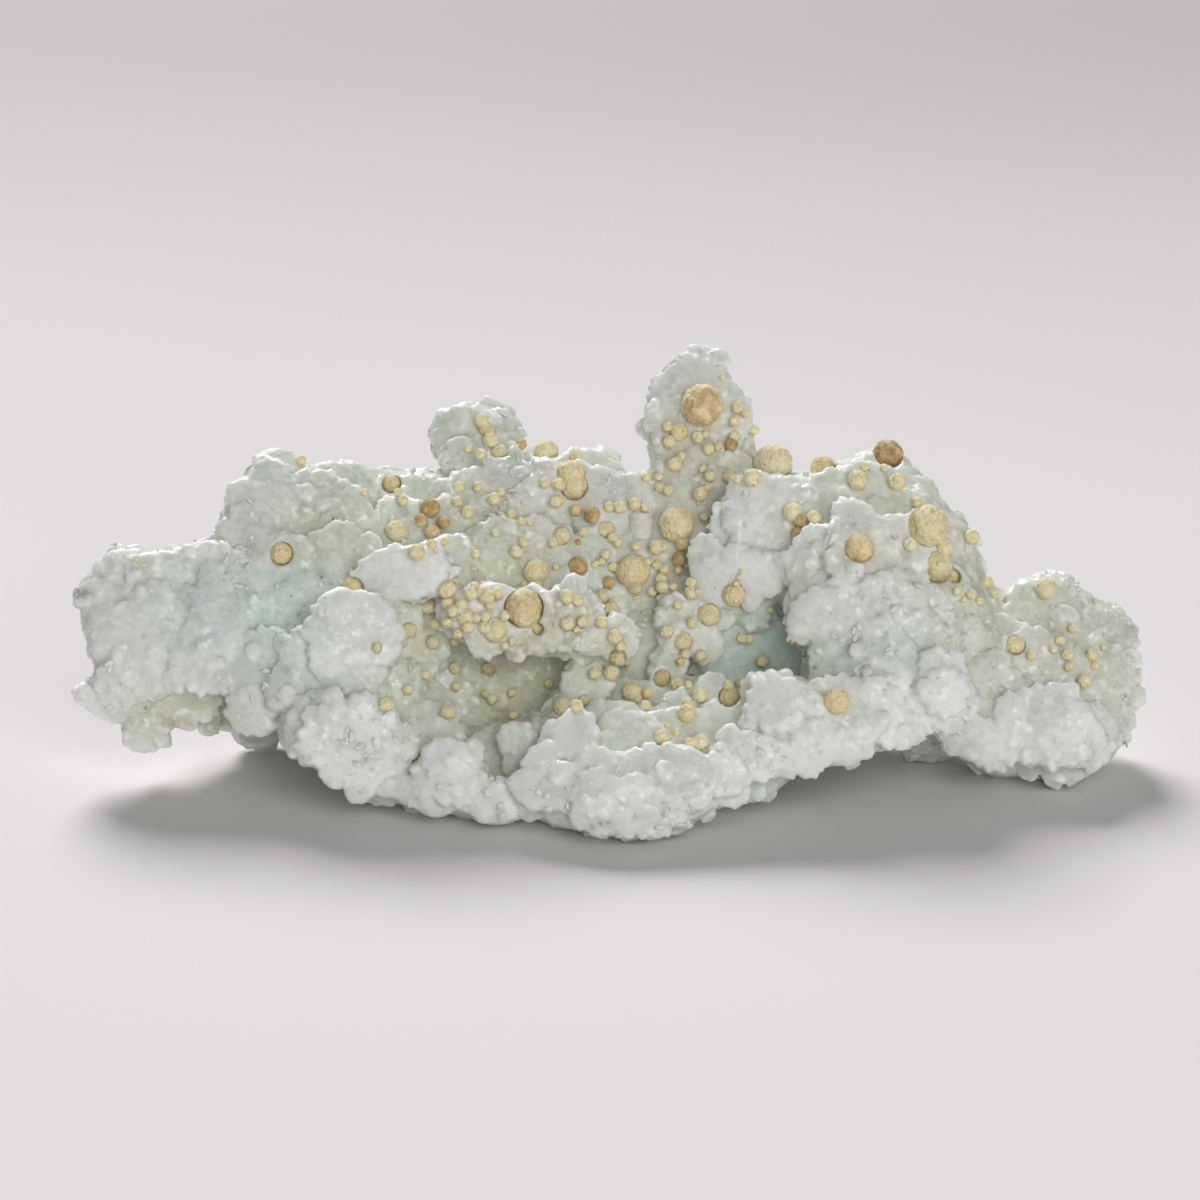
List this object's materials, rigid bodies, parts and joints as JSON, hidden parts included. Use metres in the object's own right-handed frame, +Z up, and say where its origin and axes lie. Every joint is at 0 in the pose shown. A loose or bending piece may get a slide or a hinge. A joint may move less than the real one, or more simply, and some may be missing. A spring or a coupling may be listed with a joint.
{
  "type": "gyrolite on prehnite specimen",
  "caption": "Wide crust of lobed pale green prehnite with an upright finger and a deep hollow, dotted with round cream gyrolite balls, cut flat underneath to stand on a shelf.",
  "frame": {"origin": "centre of the specimen's box, on the surface it stands on", "axes": "+X along its length, to the right as displayed; -Y is the display side; +Z up"},
  "size_m": [0.1305, 0.0622, 0.0473],
  "materials": {
    "prehnite": "sugary, translucent",
    "gyrolite_cream": "matte",
    "gyrolite_peach": "matte",
    "gyrolite_ochre": "matte",
    "gyrolite_brown": "matte"
  },
  "bodies": {
    "root": {"prehnite_crust": "prehnite", "gyrolite_finger_ball": "gyrolite_peach", "gyrolite_saddle_ball": "gyrolite_cream", "gyrolite_crest_cluster": "gyrolite_cream", "gyrolite_shelf_ball": "gyrolite_ochre", "gyrolite_rib_ball": "gyrolite_ochre", "gyrolite_centre_ball": "gyrolite_ochre", "gyrolite_twin_ball": "gyrolite_ochre", "gyrolite_wing_spotted_ball": "gyrolite_peach", "gyrolite_crest_brown_ball": "gyrolite_brown", "gyrolite_slope_nubbed_ball": "gyrolite_ochre", "gyrolite_back_ball": "gyrolite_cream", "gyrolite_shelf_left_ball": "gyrolite_cream", "gyrolite_lower_right_ball": "gyrolite_peach", "gyrolite_left_wing_ball": "gyrolite_peach", "gyrolite_left_wing_sunk_ball": "gyrolite_peach", "gyrolite_hollow_upper_ball": "gyrolite_ochre", "gyrolite_hollow_middle_ball": "gyrolite_ochre", "gyrolite_hollow_floor_ball": "gyrolite_peach", "gyrolite_crest_left_ball": "gyrolite_peach", "gyrolite_wing_upper_ball": "gyrolite_cream", "gyrolite_left_crest_ball": "gyrolite_peach", "gyrolite_left_slope_ball": "gyrolite_cream", "gyrolite_left_brown_ball": "gyrolite_brown", "gyrolite_slope_ball": "gyrolite_ochre", "gyrolite_front_ball": "gyrolite_cream", "gyrolite_crest_front_ball": "gyrolite_cream", "gyrolite_blob_top_ball": "gyrolite_cream", "gyrolite_neck_ball": "gyrolite_ochre", "gyrolite_floor_pair": "gyrolite_cream", "gyrolite_rib_low_ball": "gyrolite_ochre", "gyrolite_slope_brown_ball": "gyrolite_brown", "gyrolite_upper_small_ball": "gyrolite_cream", "gyrolite_finger_low_ball": "gyrolite_peach", "gyrolite_veiled_pair": "gyrolite_peach", "gyrolite_rib_foot_ball": "gyrolite_peach", "gyrolite_shelf_small_ball": "gyrolite_cream", "gyrolite_front_upper_ball": "gyrolite_cream", "gyrolite_knob_ball": "gyrolite_cream", "gyrolite_knob_low_ball": "gyrolite_cream", "gyrolite_ledge_edge_ball": "gyrolite_ochre", "gyrolite_rim_pair": "gyrolite_cream"}
  },
  "joints": []
}
